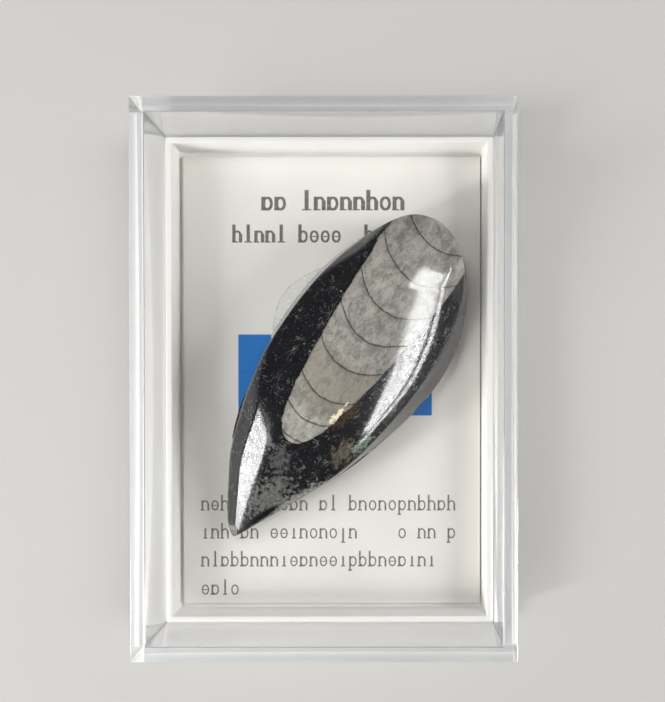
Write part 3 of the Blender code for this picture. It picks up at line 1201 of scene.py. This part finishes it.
    def build(self) -> None:
        """Model the stone over its CAD node."""
        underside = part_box("polished_fossil")[0].z
        right, left = self.sides()
        count = self.side_columns
        tip = self.section(left[0], 0.0, self.left)
        outward = [self.section(right[index], index / count, self.right) for index in range(1, count + 1)]
        back = [self.section(left[index], index / count, self.left) for index in range(count - 1, 0, -1)]
        sections = [tip, *outward, *back, tip]
        rows = len(tip) - 1
        Bench.clear()
        bpy.ops.mesh.primitive_grid_add(x_subdivisions=2 * count, y_subdivisions=rows, size=2.0)
        stone = Bench.settle("fossil_stone")
        place = (Matrix.Translation((*self.tip, underside)) @ Matrix.Rotation(self.heading, 4, "Z")
                 @ Matrix.Scale(MM, 4))
        for vert in stone.data.vertices:
            column = round((vert.co.x + 1) * count)
            row = round((vert.co.y + 1) / 2 * rows)
            vert.co = place @ Vector(sections[column][row])
        Bench.edit(stone)
        bpy.ops.mesh.select_all(action="SELECT")
        bpy.ops.mesh.remove_doubles(threshold=0.002 * MM)
        bpy.ops.mesh.normals_make_consistent(inside=False)
        Bench.finish(stone, smooth=40.0)
        finish = PolishedStone(self.tip, self.heading, underside)
        Bench.dress(stone, finish.material(), Slot.STONE, "polished_fossil")


# ---- dust ------------------------------------------------------------------------------------

@dataclass
class LooseDust:
    """Specks of dust on the lid."""

    count: int = 70
    seed: int = 11
    smallest: float = 0.035 * MM
    largest: float = 0.11 * MM
    spread: float = 0.97                # share of the lid's width and length
    lift: float = 0.25                  # how far a speck's centre stands above the lid, in radii

    def build(self) -> None:
        """Scatter the specks and join them."""
        rng = np.random.default_rng(self.seed)
        lid_low, lid_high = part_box("clear_lid")
        Bench.clear()
        specks = []
        for _ in range(self.count):
            size = self.smallest + (self.largest - self.smallest) * rng.random() ** 2
            x, y = (rng.uniform(lid_low[axis], lid_high[axis]) * self.spread for axis in (0, 1))
            bpy.ops.mesh.primitive_ico_sphere_add(subdivisions=1, radius=size,
                                                  location=(x, y, lid_high.z + self.lift * size),
                                                  scale=(1.0, rng.uniform(0.5, 1.0), 0.35))
            specks.append(bpy.context.object)
        for speck in specks:
            speck.select_set(True)
        bpy.ops.object.join()
        Bench.dress(Bench.settle("lid_dust"), Dust().material(), Slot.CARD)


# ---- studio ----------------------------------------------------------------------------------

@dataclass(frozen=True)
class Lamp:
    """A soft lamp that points at the box."""

    name: str
    azimuth: float                      # degrees from +X
    elevation: float
    width: float
    height: float
    power: float
    lights: bool = True                 # whether it lights matt surfaces
    shows: bool = True                  # whether it shows in polished ones
    distance: float = 0.5

    def build(self, target: Vector) -> None:
        """Hang the lamp.

        Args:
            target: the point that it shines at.
        """
        turn, rise = math.radians(self.azimuth), math.radians(self.elevation)
        way = Vector((math.cos(turn) * math.cos(rise), math.sin(turn) * math.cos(rise), math.sin(rise)))
        light = bpy.data.lights.new(self.name, "AREA")
        light.shape = "RECTANGLE"
        light.size, light.size_y = self.width, self.height
        light.energy = self.power
        lamp = bpy.data.objects.new(self.name, light)
        lamp.location = target + way * self.distance
        lamp.rotation_euler = (-way).to_track_quat("-Z", "Y").to_euler()
        lamp.visible_diffuse, lamp.visible_glossy = self.lights, self.shows
        lamp.visible_transmission = self.shows
        bpy.context.scene.collection.objects.link(lamp)


@dataclass
class Studio:
    """Floor, lamps, world and camera."""

    floor_size: float = 3.0
    world: float = 0.03                 # how bright what surrounds the floor is
    aim: tuple[float, float, float] = (0.0, 0.0, 10.0 * MM)
    picture: tuple[int, int] = (665, 702)
    focal_px: float = 1000.0            # focal length, in that picture's pixels
    centre_px: tuple[float, float] = (375.9, 391.0)      # where the lens axis meets the picture
    eye: tuple[float, float, float] = (7.43 * MM, -0.07 * MM, 164.53 * MM)
    tilt: tuple[float, float, float] = (-0.61, 0.03, -0.04)
    lamps: tuple[Lamp, ...] = (
        Lamp("window_left", 204.8, 20.3, 0.07, 0.114, 1.1, lights=False),
        Lamp("window_right", -28.9, 26.4, 0.246, 0.126, 3.2, lights=False),
        Lamp("window_right_low", -28.0, 12.0, 0.4, 0.05, 2.0, lights=False),
        Lamp("sky_right", 0.0, 28.0, 0.2, 0.2, 1.53, shows=False),
        Lamp("sky_left", 205.0, 20.0, 0.06, 0.114, 1.35, shows=False),
        Lamp("sky_left_low", 225.0, 10.0, 0.2, 0.2, 0.76, shows=False),
        Lamp("sky_left_high", 225.0, 28.0, 0.2, 0.2, 0.60, shows=False),
        Lamp("sky_far_left", 180.0, 28.0, 0.2, 0.2, 0.39, shows=False),
        Lamp("sky_far_left_high", 180.0, 55.0, 0.2, 0.2, 0.22, shows=False),
        Lamp("sky_behind", 120.0, 55.0, 0.2, 0.2, 0.64, shows=False),
        Lamp("sky_behind_right", 50.0, 50.0, 0.2, 0.2, 0.25, shows=False),
    )

    def build(self) -> None:
        """Set the stage."""
        Bench.clear()
        bpy.ops.mesh.primitive_plane_add(size=self.floor_size, location=(0, 0, -TOUCH))
        floor = Bench.settle("studio_floor")
        floor.data.materials.append(StudioPaper().material())
        for lamp in self.lamps:
            lamp.build(Vector(self.aim))
        world = bpy.data.worlds.new("studio")
        world.use_nodes = True
        background = world.node_tree.nodes["Background"].inputs
        background["Color"].default_value = (1.0, 1.0, 1.0, 1.0)
        background["Strength"].default_value = self.world
        bpy.context.scene.world = world
        bpy.context.scene.view_settings.view_transform = "Standard"
        bpy.context.scene.cycles.glossy_bounces = 12
        self.place_camera()

    def place_camera(self) -> None:
        """Look straight down through the lid."""
        width, height = self.picture
        data = bpy.data.cameras.new("camera")
        data.sensor_fit = "VERTICAL"
        data.sensor_height = 36.0
        data.lens = data.sensor_height * self.focal_px / height
        data.shift_x = (width / 2 - self.centre_px[0]) / height
        data.shift_y = (self.centre_px[1] - height / 2) / height
        data.clip_start = 0.005
        camera = bpy.data.objects.new("camera", data)
        camera.location = self.eye
        camera.rotation_euler = tuple(math.radians(angle) for angle in self.tilt)
        bpy.context.scene.collection.objects.link(camera)
        bpy.context.scene.camera = camera


def main() -> None:
    """Build every piece in order, then the studio."""
    logging.basicConfig(level=logging.INFO, format="%(name)s: %(message)s")
    for maker in (DisplayTray(), ClearLid(), LabelCard(), GluePad(), FossilStone(), LooseDust()):
        maker.build()
    Studio().build()


if __name__ == "__main__":
    main()
